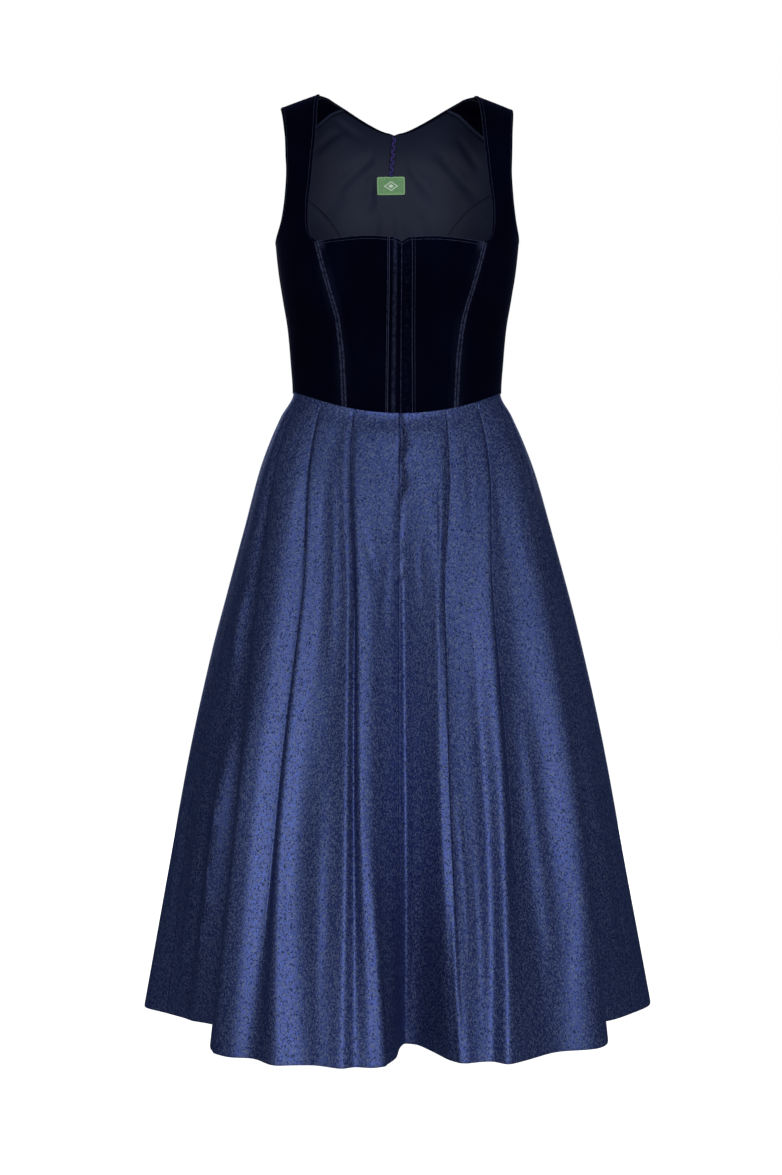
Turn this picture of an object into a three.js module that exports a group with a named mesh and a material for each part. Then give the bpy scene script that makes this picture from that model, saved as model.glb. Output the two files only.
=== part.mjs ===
// A sleeveless dirndl dress, worn form with nobody in it: a fitted bodice of velvet panels
// with a square neckline and wide straps, and a pleated, flaring jacquard skirt.
// Millimetres, +Z up. The front faces -Y and the wearer's left is +X.
// The origin lies between the two shoulders, at the height where the straps rest on them.
import * as THREE from "three";

// ---- Driving dimensions -------------------------------------------------------------

const WAIST_Z = -378.5; // the waist seam at the sides
const FRONT_DIP = 33; // how much lower the waist seam runs at the centre front
const BACK_DIP = 8;
const HEM_Z = -1162;
const SHOULDER_START = -90; // above this height the cloth bends over the shoulder
const SHOULDER_ARC = 135; // length of cloth from there to the shoulder seam
const SHOULDER_Y = 4; // the shoulder seam lies this far behind the origin
const STRAP_FALL = 18; // how much the shoulder seam drops from neck to shoulder tip
const NECK_HALF = 98; // half of the neck's width at the shoulder seams
const STRAP_WIDTH = 50; // width of a strap at its shoulder seam

const VELVET = 2; // wall of the velvet panels
const LINING = 1;
const SKIRT_WALL = 1.5;
const HEM_EXTRA = 1; // the turned hem makes the wall thicker
const HEM_SHARE = 0.96; // share of the skirt's length above the turned hem
const SEAM_GAP = 0.3; // clear space between two pieces that are sewn together
const SKIRT_INSET = 1; // the skirt starts this far inside the velvet's outer face

const PLACKET_WIDTH = 15.5; // raised, topstitched band along each front edge
const PLACKET_RISE = 1;
const NOTCH_DEPTH = 5; // the front edges round off at the neckline

const LABEL_WIDTH = 36;
const LABEL_HEIGHT = 22;
const LABEL_X = -3.5; // the label and the loop's lower end sit a little off the centre line
const LABEL_TOP = -86;
const LABEL_THICK = 1;
const HANGER_WIDTH = 5;
const HANGER_THICK = 1.6;
const HANGER_TOP = -37;

// ---- Tables -------------------------------------------------------------------------

// Sections of the whole dress. half is half the width, front and back are the depths
// before and behind the side seams, square is the superellipse's exponent.
const SECTIONS = [
  { z: -90, half: 158, front: 88, back: 98, square: 3.0 },
  { z: -150, half: 156.5, front: 110, back: 104, square: 2.7 },
  { z: -190, half: 154, front: 121, back: 104, square: 2.45 },
  { z: -225, half: 150.5, front: 124, back: 103, square: 2.35 },
  { z: -260, half: 145, front: 119, back: 101, square: 2.25 },
  { z: -300, half: 138.5, front: 110, back: 97, square: 2.15 },
  { z: -340, half: 135, front: 103, back: 96, square: 2.1 },
  { z: -378.5, half: 132.5, front: 100, back: 98, square: 2.1 },
  { z: -408, half: 149.5, front: 112, back: 114, square: 2.0 },
  { z: -443, half: 165, front: 124, back: 130, square: 2.0 },
  { z: -479, half: 178, front: 136, back: 143, square: 2.0 },
  { z: -550, half: 197.5, front: 158, back: 166, square: 2.0 },
  { z: -692, half: 234, front: 203, back: 211, square: 2.0 },
  { z: -834, half: 265.5, front: 246, back: 252, square: 2.0 },
  { z: -1000, half: 295, front: 291, back: 292, square: 2.0 },
  { z: -1162, half: 323, front: 326, back: 324, square: 2.0 },
];

// The bodice's seams and edges, each from its lower end to its upper end. x is the distance
// from the centre line, h the height measured along the cloth: h is z up to
// SHOULDER_START, and then runs over the shoulder. A null x lies on the side seam and a
// null h on the waist seam.
const SHOULDER_TOP = SHOULDER_START + SHOULDER_ARC;
const SHOULDER_TIP = NECK_HALF + STRAP_WIDTH;
const UNDERARM = -190;

const SIDE_SEAM = [
  { x: null, h: null },
  { x: null, h: -300 },
  { x: null, h: UNDERARM },
];
const FRONT_SEAM = [
  { x: 69, h: null },
  { x: 71.5, h: -342 },
  { x: 77, h: -300 },
  { x: 89, h: -257 },
  { x: 101, h: -213 },
  { x: 104, h: -201 },
];
const STRAP_EDGE = [
  { x: 104, h: -201 },
  { x: 109, h: -196 },
  { x: 112.5, h: -184 },
  { x: 113, h: -158 },
  { x: 109, h: -120 },
  { x: 104, h: -70 },
  { x: 101, h: -12 },
  { x: NECK_HALF, h: SHOULDER_TOP },
];
const FRONT_ARMHOLE = [
  { x: null, h: UNDERARM },
  { x: 153, h: -186 },
  { x: 149.5, h: -177 },
  { x: 146, h: -164 },
  { x: 142.5, h: -138 },
  { x: 141, h: -102 },
  { x: 142.5, h: -60 },
  { x: 146, h: -6 },
  { x: SHOULDER_TIP, h: SHOULDER_TOP },
];
const CENTRE_BACK_SEAM = [
  { x: 0, h: null },
  { x: 0, h: -200 },
  { x: 0, h: -33.5 },
];
const BACK_NECKLINE = [
  { x: 0, h: -33.5 },
  { x: 10, h: -32 },
  { x: 30, h: -23 },
  { x: 60, h: -2 },
  { x: 85, h: 22 },
  { x: NECK_HALF, h: SHOULDER_TOP },
];
const BACK_SEAM = [
  { x: 36, h: null },
  { x: 41, h: -305 },
  { x: 52, h: -225 },
  { x: 72, h: -163 },
  { x: 104, h: -126 },
  { x: 138.5, h: -106 },
];
const BACK_ARMHOLE_LOW = [
  { x: null, h: UNDERARM },
  { x: 152, h: -182 },
  { x: 145.5, h: -152 },
  { x: 141, h: -128 },
  { x: 139.2, h: -114 },
];
const BACK_ARMHOLE_HIGH = [
  { x: 138.5, h: -106 },
  { x: 140, h: -80 },
  { x: 142, h: -46 },
  { x: 144.5, h: -12 },
  { x: SHOULDER_TIP, h: SHOULDER_TOP },
];

// Neckline of the centre front panel, from the front edge to the princess seam.
const FRONT_NECKLINE = [
  { share: 0.0, h: -199.5 - NOTCH_DEPTH },
  { share: 0.05, h: -199.5 },
  { share: 0.3, h: -197.5 },
  { share: 0.7, h: -199.5 },
  { share: 1.0, h: -202 },
];

// The skirt's folds, one row each, running round from the centre front: its angles, in
// degrees from the centre front towards the wearer's left, at the waist, the hip, the knee
// and the hem, and then how far the cloth stands out from (or in from) the plain section at
// the hip, the knee and the hem. A valley close behind a ridge is the sharp edge of a pleat.
const FOLDS = [
  ["front seam", [-0.5, -1.4, -1.8, -1.9], [-21, -38, -96]],
  ["notch floor", [1.2, 0.2, 0, 0], [-26, -47, -126]],
  ["notch wall", [4.5, 2.6, 1.9, 1.8], [-20, -38, -124]],
  ["notch slope", [9.3, 5.6, 4.2, 4], [-11, -27, -118]],
  ["notch side", [14, 8.4, 6.4, 7.2], [-3, -10, -76]],
  ["edge ridge", [20, 10.6, 8.4, 9.4], [4, 5, -28]],
  ["first pleat", [24.2, 13.4, 11.2, 12], [-3, -3, -12]],
  ["small ridge", [28.6, 17, 15, 15], [-4, -6, -15]],
  ["small slope", [36, 22.6, 20.4, 17.8], [-1, -7, -13]],
  ["middle ridge", [43, 28, 23.6, 19.8], [6, 6, 8]],
  ["second pleat", [46.9, 31.3, 28, 25.4], [-6, -12, -4]],
  ["flute slope", [52, 39, 37, 35], [-10, -23, -20]],
  ["flute", [60, 50, 46.5, 44], [9, 9, 2]],
  ["flute edge", [66, 56, 52.5, 53.5], [1, -4, -20]],
  ["deep valley", [70.5, 62, 58.5, 61], [-28, -62, -104]],
  ["side slope", [76, 71, 69, 71], [-20, -42, -58]],
  ["side seam", [87, 85, 85, 84], [-3, -12, -24]],
  ["side ridge", [98, 98, 98, 98], [5, 8, 14]],
  ["side edge", [108, 111, 112, 113], [5, 6, 8]],
  ["back valley", [114, 118, 121, 124], [-18, -44, -82]],
  ["back slope", [122, 127, 130, 134], [-3, -10, -22]],
  ["back flute", [134, 138, 142, 146], [6, 12, 18]],
  ["back pleat", [146, 151, 154, 157], [-9, -11, 2]],
  ["back ridge", [157, 161, 164, 168], [5, 7, 6]],
  ["back middle", [168, 171, 173, 175], [-3, -8, -22]],
  ["back seam", [180, 180, 180, 180], [-9, -30, -66]],
  ["back middle", [191, 189, 187, 186], [-2, -6, -16]],
  ["back ridge", [202, 198, 195, 194], [5, 8, 9]],
  ["back pleat", [214, 209, 206, 204], [-9, -12, -2]],
  ["back flute", [226, 222, 218, 215], [6, 11, 16]],
  ["back slope", [238, 233, 230, 227], [-3, -12, -26]],
  ["back valley", [246, 242, 239, 236], [-18, -46, -86]],
  ["side edge", [252, 249, 248, 247], [1, 2, 2]],
  ["side ridge", [262, 262, 262, 262], [1, 3, 6]],
  ["side seam", [273, 274, 273, 271], [-5, -15, -30]],
  ["side slope", [284, 290, 291, 286], [-12, -34, -72]],
  ["deep valley", [289, 299, 303, 301], [-19, -46, -98]],
  ["flute edge", [294, 306.5, 311.5, 310.2], [0, -6, -20]],
  ["flute", [303, 316.6, 319.6, 321], [7, 9, 10]],
  ["second pleat", [313.2, 324.2, 325.4, 326.4], [-9, -10, -2]],
  ["middle ridge", [316.5, 327.4, 328.8, 333], [6, 9, 19]],
  ["ridge slope", [322, 332, 332.6, 336.5], [-2, -2, 9]],
  ["soft valley", [327, 337, 339, 341.5], [-5, -4, 1]],
  ["thin ridge", [332, 342.4, 345.4, 346.4], [2, 8, 11]],
  ["first pleat", [335.2, 343.9, 347, 349], [-7, -5, -1]],
  ["middle front", [338.4, 346, 349, 352.2], [6, 7, 2]],
  ["ridge side", [344.5, 349.4, 351.7, 354.6], [3, 1, -8]],
  ["front slope", [351.5, 353.2, 354.2, 356], [-7, -15, -28]],
  ["front edge", [357.5, 356.6, 356.5, 357.4], [-15, -28, -56]],
].map(([name, angles, reaches]) => ({ name, angles, reaches }));
const WAIST_REACH = 0; // every fold starts flat under the waist seam
const HIP_SHARE = 0.33; // the tables' heights, as shares of the skirt's length
const KNEE_SHARE = 0.67;
const PLEAT_RISE = 2.5; // how far a pleat's folded edge stands proud just under the waist
const PLEAT_SHARE = 0.05;
const FOLD_ROUNDING = [[-0.28, 0.25], [0, 0.5], [0.28, 0.25]]; // steps in fold numbers, and their weights

// ---- Curves -------------------------------------------------------------------------

const clamp = THREE.MathUtils.clamp;
const lerp = THREE.MathUtils.lerp;
const radians = THREE.MathUtils.degToRad;
const smooth = (t) => THREE.MathUtils.smoothstep(t, 0, 1);

// The slopes of a cubic through the points (xs, ys) that never overshoots them.
function slopes(xs, ys) {
  const rise = xs.slice(1).map((x, i) => (ys[i + 1] - ys[i]) / (x - xs[i]));
  return xs.map((_, i) => {
    if (i === 0) return rise[0];
    if (i === xs.length - 1) return rise[i - 1];
    const before = rise[i - 1];
    const after = rise[i];
    if (before * after <= 0) return 0;
    return (2 * before * after) / (before + after);
  });
}

// A smooth function through the points (xs, ys), with xs in rising order.
function curve(xs, ys) {
  const slope = slopes(xs, ys);
  return (x) => {
    let i = 0;
    while (i < xs.length - 2 && x > xs[i + 1]) i += 1;
    const width = xs[i + 1] - xs[i];
    const t = clamp((x - xs[i]) / width, 0, 1);
    const along = 3 * t * t - 2 * t * t * t;
    const startPull = (t * t * t - 2 * t * t + t) * width * slope[i];
    const endPull = (t * t * t - t * t) * width * slope[i + 1];
    return ys[i] * (1 - along) + ys[i + 1] * along + startPull + endPull;
  };
}

function column(rows, by, name) {
  const sorted = [...rows].sort((a, b) => a[by] - b[by]);
  return curve(sorted.map((row) => row[by]), sorted.map((row) => row[name]));
}

const halfWidth = column(SECTIONS, "z", "half");
const frontDepth = column(SECTIONS, "z", "front");
const backDepth = column(SECTIONS, "z", "back");
const squareness = column(SECTIONS, "z", "square");

// ---- The form of the dress ------------------------------------------------------------

// How much lower than at the sides the waist seam runs, at an angle from the centre front.
function waistDip(turn) {
  const c = Math.cos(turn);
  return c * c * (c > 0 ? FRONT_DIP : BACK_DIP);
}

const waistSeam = (turn) => WAIST_Z - waistDip(turn);

// A point of the plain section at a height, as x and y.
function sectionPoint(turn, z) {
  const power = 2 / squareness(z);
  const s = Math.sin(turn);
  const c = Math.cos(turn);
  const depth = c > 0 ? frontDepth(z) : backDepth(z);
  return {
    x: halfWidth(z) * Math.sign(s) * Math.abs(s) ** power,
    y: -depth * Math.sign(c) * Math.abs(c) ** power,
  };
}

// The angle at which the section at a height is x wide.
function turnAt(x, z, behind) {
  const share = clamp(Math.abs(x) / halfWidth(z), 0, 1) ** (squareness(z) / 2);
  const turn = Math.asin(share);
  return behind ? Math.PI - turn : turn;
}

const BLEND_TOP = -300; // above this height the waist's dip no longer bends the sections

// A point of the bodice's outer face.
function bodicePoint(turn, h) {
  if (h <= SHOULDER_START) {
    const bent = clamp((BLEND_TOP - h) / (BLEND_TOP - waistSeam(turn)), 0, 1);
    const { x, y } = sectionPoint(turn, h + waistDip(turn) * bent);
    return new THREE.Vector3(x, y, h);
  }
  const bend = ((h - SHOULDER_START) / SHOULDER_ARC) * (Math.PI / 2);
  const { x, y } = sectionPoint(turn, SHOULDER_START);
  const fall = STRAP_FALL * clamp((Math.abs(x) - NECK_HALF) / STRAP_WIDTH, -0.25, 1.2);
  return new THREE.Vector3(
    x,
    lerp(SHOULDER_Y, y, Math.cos(bend)),
    lerp(SHOULDER_START, -fall, Math.sin(bend)),
  );
}

const FOLD_COUNT = FOLDS.length;

// One fold's value down the skirt, from its waist, hip, knee and hem values.
function foldDown(waist, hip, knee, hem) {
  return curve([0, HIP_SHARE, KNEE_SHARE, 1], [waist, hip, knee, hem]);
}

const foldAngle = FOLDS.map((fold) => foldDown(...fold.angles));
const foldReach = FOLDS.map((fold) => foldDown(WAIST_REACH, ...fold.reaches));

// Adds the pleat's own edge, which stands proud just under the waist.
function pleatRise(i, down) {
  if (!/pleat|valley|seam/.test(FOLDS[i].name)) return 0;
  const near = smooth(down / PLEAT_SHARE) * (1 - smooth((down - HIP_SHARE / 2) / HIP_SHARE));
  return -PLEAT_RISE * near;
}

// The folds' angles and reaches at one height, as smooth functions of the fold's number.
const rowCache = new Map();
function foldRow(down) {
  if (rowCache.has(down)) return rowCache.get(down);
  const index = [];
  const angle = [];
  const reach = [];
  for (let i = -2; i <= FOLD_COUNT + 2; i += 1) {
    const wrapped = (i + FOLD_COUNT) % FOLD_COUNT;
    const turns = Math.floor(i / FOLD_COUNT);
    index.push(i);
    angle.push(foldAngle[wrapped](down) + 360 * turns);
    reach.push(foldReach[wrapped](down) + pleatRise(wrapped, down));
  }
  const row = { angle: curve(index, angle), reach: curve(index, reach) };
  rowCache.set(down, row);
  return row;
}

// A point of the skirt with its folds as sharp as in the table: k is the fold's number,
// down the share of its length.
function sharpSkirtPoint(k, down) {
  const row = foldRow(down);
  const turn = radians(row.angle(k));
  const plain = sectionPoint(turn, lerp(WAIST_Z, HEM_Z, down));
  const radius = Math.hypot(plain.x, plain.y);
  const scale = (radius + row.reach(k) - SKIRT_INSET) / radius;
  return new THREE.Vector3(
    plain.x * scale,
    plain.y * scale,
    lerp(waistSeam(turn), HEM_Z, down),
  );
}

// A point of the skirt's outer face, with the folds rounded a little over their turns.
function skirtPoint(k, down) {
  const point = new THREE.Vector3();
  for (const [offset, share] of FOLD_ROUNDING) {
    point.addScaledVector(sharpSkirtPoint(k + offset, down), share);
  }
  return point;
}

// ---- Walls --------------------------------------------------------------------------

const STEP = 1e-3;

// The outward normal of a surface at (s, t).
function normalAt(surface, s, t) {
  const here = surface(s, t);
  const across = surface(s + STEP, t).sub(surface(s - STEP, t));
  const along = surface(s, Math.min(t + STEP, 1)).sub(surface(s, Math.max(t - STEP, 0)));
  const normal = across.cross(along).normalize();
  const outward = new THREE.Vector3(here.x, here.y, 0);
  if (here.z > SHOULDER_START) outward.z = here.z - 2 * SHOULDER_START;
  return normal.dot(outward) < 0 ? normal.negate() : normal;
}

// A layer of cloth: grid points of a surface, moved out along its normals. The outside
// columns and rows then draw back by half a seam gap.
function layer(surface, sSteps, tSteps, moveOut) {
  const rows = tSteps.map((t) =>
    sSteps.map((s) => surface(s, t).addScaledVector(normalAt(surface, s, t), moveOut(s, t))),
  );
  const draw = (edge, next) => {
    const inward = next.clone().sub(edge);
    edge.addScaledVector(inward.normalize(), SEAM_GAP / 2);
  };
  const last = sSteps.length - 1;
  const top = rows.length - 1;
  rows.forEach((row) => {
    draw(row[0], row[1]);
    draw(row[last], row[last - 1]);
  });
  for (let i = 0; i <= last; i += 1) {
    draw(rows[0][i], rows[1][i]);
    draw(rows[top][i], rows[top - 1][i]);
  }
  return rows;
}

// A closed wall between an outer and an inner layer with the same grid.
function wallGeometry(outer, inner) {
  const height = outer.length;
  const width = outer[0].length;
  const points = [...outer.flat(), ...inner.flat()];
  const innerStart = height * width;
  const faces = [];
  const quad = (a, b, c, d) => faces.push(a, b, c, a, c, d);
  for (let j = 0; j < height - 1; j += 1) {
    for (let i = 0; i < width - 1; i += 1) {
      const a = j * width + i;
      const b = a + 1;
      const c = b + width;
      const d = a + width;
      quad(a, b, c, d);
      quad(innerStart + a, innerStart + d, innerStart + c, innerStart + b);
    }
  }
  const rim = [];
  for (let i = 0; i < width; i += 1) rim.push(i);
  for (let j = 1; j < height; j += 1) rim.push(j * width + width - 1);
  for (let i = width - 2; i >= 0; i -= 1) rim.push((height - 1) * width + i);
  for (let j = height - 2; j > 0; j -= 1) rim.push(j * width);
  // Two walls that meet at a seam have to divide its faces the same way.
  const forwards = width + height - 2;
  rim.forEach((a, i) => {
    const b = rim[(i + 1) % rim.length];
    if (i < forwards) quad(b, a, innerStart + a, innerStart + b);
    else quad(a, innerStart + a, innerStart + b, b);
  });
  const geometry = new THREE.BufferGeometry().setFromPoints(points);
  geometry.setIndex(volume(points, faces) < 0 ? faces.reverse() : faces);
  geometry.computeVertexNormals();
  return geometry;
}

function volume(points, faces) {
  let sum = 0;
  for (let i = 0; i < faces.length; i += 3) {
    const [a, b, c] = [points[faces[i]], points[faces[i + 1]], points[faces[i + 2]]];
    sum += a.dot(b.clone().cross(c));
  }
  return sum / 6;
}

const even = (count) => Array.from({ length: count + 1 }, (_, i) => i / count);

const dress = new THREE.Group();

function add(name, material, surface, sSteps, tSteps, outside, inside) {
  const outer = layer(surface, sSteps, tSteps, outside);
  const inner = layer(surface, sSteps, tSteps, inside);
  const mesh = new THREE.Mesh(wallGeometry(outer, inner), material);
  mesh.name = name;
  dress.add(mesh);
}

// ---- Materials ------------------------------------------------------------------------

const cloth = (color, roughness) => new THREE.MeshStandardMaterial({ color, roughness, metalness: 0 });
const velvet = cloth(0x06071a, 0.95);
const lining = cloth(0x1d2030, 0.8);
const jacquard = cloth(0x3c4b85, 0.55);
const labelWeave = cloth(0x5f9457, 0.8);
const cord = cloth(0x1d1850, 0.7);

// ---- Bodice ---------------------------------------------------------------------------

const SIDES = [["left", 1], ["right", -1]];

// A seam or an edge as a smooth path of angles and heights, both over a share from 0 to 1.
function path(rows, behind) {
  const points = rows.map(({ x, h }) => {
    const turn = x === null ? Math.PI / 2 : turnAt(x, Math.min(h ?? WAIST_Z, SHOULDER_START), behind);
    return { turn, h: h ?? waistSeam(turn) };
  });
  const along = [0];
  points.slice(1).forEach((point, i) => {
    const across = (point.turn - points[i].turn) * halfWidth(UNDERARM);
    along.push(along[i] + Math.hypot(across, point.h - points[i].h));
  });
  const shares = along.map((length) => length / along[along.length - 1]);
  return {
    turn: curve(shares, points.map((point) => point.turn)),
    h: curve(shares, points.map((point) => point.h)),
  };
}

// A panel's edge: paths one after the other, each divided into its own number of rows.
function edge(...parts) {
  const rows = parts.reduce((sum, part) => sum + part.rows, 0);
  const at = (name) => (t) => {
    let row = t * rows;
    let i = 0;
    while (i < parts.length - 1 && row > parts[i].rows) {
      row -= parts[i].rows;
      i += 1;
    }
    return parts[i].path[name](row / parts[i].rows);
  };
  return { turn: at("turn"), h: at("h"), rows };
}

const WAIST_SHARE = 0.25; // above this share of a panel its rows no longer follow the waist

// The panel between two edges: s runs from the inner to the outer edge, t upwards. top is
// the panel's upper edge as a function of s, where that is not straight.
function panel(side, inner, outer, top) {
  const surface = (s, t) => {
    const turn = lerp(inner.turn(t), outer.turn(t), s);
    const atWaist = waistSeam(lerp(inner.turn(0), outer.turn(0), s));
    const atFoot = lerp(inner.h(0), outer.h(0), s);
    const atTop = lerp(inner.h(1), outer.h(1), s);
    const bent = (atWaist - atFoot) * (1 - smooth(t / WAIST_SHARE));
    const shaped = top ? (top(s) - atTop) * t : 0;
    return bodicePoint(turn * side, lerp(inner.h(t), outer.h(t), s) + bent + shaped);
  };
  return { surface, rows: inner.rows };
}

const frontNeckline = column(FRONT_NECKLINE, "share", "h");
const CENTRE_FRONT = [
  { x: 0, h: null },
  { x: 0, h: -300 },
  { x: 0, h: frontNeckline(0) },
];

const ROWS = { frontSeam: 12, strap: 15, side: 9, backSeam: 16, backArmhole: 6, centreBack: 14, neckline: 8 };
const frontSeam = { path: path(FRONT_SEAM, false), rows: ROWS.frontSeam };
const strapEdge = { path: path(STRAP_EDGE, false), rows: ROWS.strap };
const frontSide = { path: path(SIDE_SEAM, false), rows: ROWS.side };
const frontArmhole = { path: path(FRONT_ARMHOLE, false), rows: ROWS.frontSeam + ROWS.strap - ROWS.side };
const centreFront = { path: path(CENTRE_FRONT, false), rows: ROWS.frontSeam };
const backSeam = { path: path(BACK_SEAM, true), rows: ROWS.backSeam };
const armholeLow = { path: path(BACK_ARMHOLE_LOW, true), rows: ROWS.backSeam - ROWS.side };
const armholeHigh = { path: path(BACK_ARMHOLE_HIGH, true), rows: ROWS.backArmhole };
const centreBack = { path: path(CENTRE_BACK_SEAM, true), rows: ROWS.centreBack };
const backNeckline = { path: path(BACK_NECKLINE, true), rows: ROWS.neckline };

const centreFrontPanel = (side) => panel(side, edge(centreFront), edge(frontSeam), frontNeckline);
const sideFrontPanel = (side) => panel(side, edge(frontSeam, strapEdge), edge(frontSide, frontArmhole));
const sideBackPanel = (side) => panel(side, edge(backSeam), edge(frontSide, armholeLow));
const centreBackPanel = (side) => panel(side, edge(centreBack, backNeckline), edge(backSeam, armholeHigh));

// The band along the front edge stands proud of the panel.
function placketRise(surface, s, t) {
  const x = Math.abs(surface(s, t).x);
  return PLACKET_RISE * (1 - smooth((x - PLACKET_WIDTH) / 1.5 + 0.5));
}

const FRONT_COLUMNS = [0, 0.03, 0.07, 0.12, 0.175, 0.2, 0.225, 0.35, 0.5, 0.66, 0.83, 1];
const SIDE_COLUMNS = even(8);
const BACK_COLUMNS = even(6);
const SIDE_BACK_COLUMNS = even(4);

const flush = () => 0;
const inward = (depth) => () => -depth;

for (const [name, side] of SIDES) {
  const front = centreFrontPanel(side);
  const rise = (s, t) => placketRise(front.surface, s, t);
  add(`front_centre_${name}`, velvet, front.surface, FRONT_COLUMNS, even(front.rows), rise, inward(VELVET));
  const velvetPanels = [
    ["front_side", sideFrontPanel(side), SIDE_COLUMNS],
    ["back_side", sideBackPanel(side), SIDE_BACK_COLUMNS],
    ["back_centre", centreBackPanel(side), BACK_COLUMNS],
  ];
  for (const [part, { surface, rows }, columns] of velvetPanels) {
    add(`${part}_${name}`, velvet, surface, columns, even(rows), flush, inward(VELVET));
  }
}

// ---- Lining, facings, hanging loop and label --------------------------------------------

const LINING_OUT = VELVET + SEAM_GAP;
const LINING_IN = LINING_OUT + LINING;
const FACING_OUT = LINING_IN + SEAM_GAP;
const FACING_IN = FACING_OUT + LINING;
// The velvet facing inside a shoulder covers the panel's rows from this one up.
const FACING_FIRST_ROW = 18;

for (const [name, side] of SIDES) {
  const centre = centreBackPanel(side);
  const outer = sideBackPanel(side);
  const centreRows = even(centre.rows);
  const facingRows = centreRows.slice(FACING_FIRST_ROW);
  const parts = [
    ["lining_centre", lining, centre.surface, BACK_COLUMNS, centreRows, LINING_OUT, LINING_IN],
    ["lining_side", lining, outer.surface, SIDE_BACK_COLUMNS, even(outer.rows), LINING_OUT, LINING_IN],
    ["shoulder_facing", velvet, centre.surface, BACK_COLUMNS, facingRows, FACING_OUT, FACING_IN],
  ];
  for (const [part, material, surface, columns, rows, outside, inside] of parts) {
    add(`${part}_${name}`, material, surface, columns, rows, inward(outside), inward(inside));
  }
}

// A flat piece on the lining at the centre back, between two heights.
function patch(width, top, bottom, topX, bottomX) {
  return (s, t) => {
    const h = lerp(bottom, top, t);
    const z = Math.min(h, SHOULDER_START);
    const x = (s - 0.5) * width + lerp(bottomX, topX, t);
    return bodicePoint(Math.sign(x || 1) * turnAt(x, z, true), h);
  };
}

const label = patch(LABEL_WIDTH, LABEL_TOP, LABEL_TOP - LABEL_HEIGHT, LABEL_X, LABEL_X);
const LABEL_OUT = FACING_OUT + 0.3;
add("label", labelWeave, label, even(6), even(2), inward(LABEL_OUT), inward(LABEL_OUT + LABEL_THICK));

// The hanging loop is sewn down at its two ends and runs straight between them.
const hangerEnds = patch(HANGER_WIDTH, HANGER_TOP, LABEL_TOP + 1.5, 0, LABEL_X);
const hanger = (s, t) => hangerEnds(s, 0).lerp(hangerEnds(s, 1), t);
const HANGER_OUT = FACING_OUT + 0.4;
add("hanging_loop", cord, hanger, even(2), even(4), inward(HANGER_OUT), inward(HANGER_OUT + HANGER_THICK));

// ---- Skirt ----------------------------------------------------------------------------

const SKIRT_ROWS = [0, 0.02, 0.05, 0.1, 0.16, 0.24, 0.33, 0.43, 0.54, 0.67, 0.78, 0.89, HEM_SHARE, 0.97, 1];
const numbered = FOLDS.map((fold, i) => ({ name: fold.name, i }));
const indexOf = (name, nth) => numbered.filter((fold) => fold.name === name)[nth].i;
const LEFT_SEAM = indexOf("side seam", 0);
const MIDDLE_SEAM = indexOf("back seam", 0);
const RIGHT_SEAM = indexOf("side seam", 1);

// The skirt's panels, each from one seam's fold to the next.
const GORES = [
  { name: "skirt_front_left", from: 0, to: LEFT_SEAM, perFold: 2 },
  { name: "skirt_back_left", from: LEFT_SEAM, to: MIDDLE_SEAM, perFold: 3 },
  { name: "skirt_back_right", from: MIDDLE_SEAM, to: RIGHT_SEAM, perFold: 3 },
  { name: "skirt_front_right", from: RIGHT_SEAM, to: FOLD_COUNT, perFold: 2 },
];

const skirtInside = (s, t) => -SKIRT_WALL - (t > HEM_SHARE ? HEM_EXTRA : 0);

for (const { name, from, to, perFold } of GORES) {
  const surface = (s, t) => skirtPoint(lerp(from, to, s), t);
  add(name, jacquard, surface, even((to - from) * perFold), SKIRT_ROWS, flush, skirtInside);
}

export default dress;
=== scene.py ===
"""A sleeveless dirndl dress, filled out and hollow: its cloth, seams, braid and label."""

import math

import bpy
import numpy as np
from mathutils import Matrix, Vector


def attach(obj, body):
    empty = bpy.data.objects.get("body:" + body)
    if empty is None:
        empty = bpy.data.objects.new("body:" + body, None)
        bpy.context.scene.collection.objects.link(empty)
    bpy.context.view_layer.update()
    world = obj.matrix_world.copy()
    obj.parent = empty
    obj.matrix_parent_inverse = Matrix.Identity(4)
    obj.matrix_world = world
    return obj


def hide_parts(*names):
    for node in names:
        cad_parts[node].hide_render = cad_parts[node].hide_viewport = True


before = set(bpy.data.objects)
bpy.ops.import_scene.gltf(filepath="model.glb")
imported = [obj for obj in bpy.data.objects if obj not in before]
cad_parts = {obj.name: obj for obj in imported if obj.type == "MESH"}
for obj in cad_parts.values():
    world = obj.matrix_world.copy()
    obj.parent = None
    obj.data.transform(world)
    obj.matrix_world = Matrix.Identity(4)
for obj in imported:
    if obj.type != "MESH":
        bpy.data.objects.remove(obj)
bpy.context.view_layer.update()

MM = 0.001

# ---- Camera ----

CAMERA_TURN = math.radians(-2.5)
CAMERA_AWAY = 2.7
CAMERA_HEIGHT = -0.625
CAMERA_CENTRE = -0.0076
CAMERA_LENS = 65.14


def add_object(name, data):
    made = bpy.data.objects.new(name, data)
    bpy.context.scene.collection.objects.link(made)
    return made


def set_camera():
    data = bpy.data.cameras.new("camera")
    data.lens = CAMERA_LENS
    camera = add_object("camera", data)
    camera.location = (
        CAMERA_CENTRE + CAMERA_AWAY * math.sin(CAMERA_TURN),
        -CAMERA_AWAY * math.cos(CAMERA_TURN),
        CAMERA_HEIGHT,
    )
    camera.rotation_euler = (math.radians(90), 0, CAMERA_TURN)
    bpy.context.scene.camera = camera


set_camera()

# ---- Sizes, in millimetres ----

WAIST_Z = -378.5
FRONT_DIP = 33
BACK_DIP = 8
HEM_Z = -1162
SHOULDER_START = -90
SHOULDER_ARC = 135
SHOULDER_TOP = SHOULDER_START + SHOULDER_ARC
SHOULDER_Y = 4
STRAP_FALL = 18
NECK_HALF = 98
STRAP_WIDTH = 50
SHOULDER_TIP = NECK_HALF + STRAP_WIDTH
UNDERARM = -190
BLEND_TOP = -300

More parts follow.
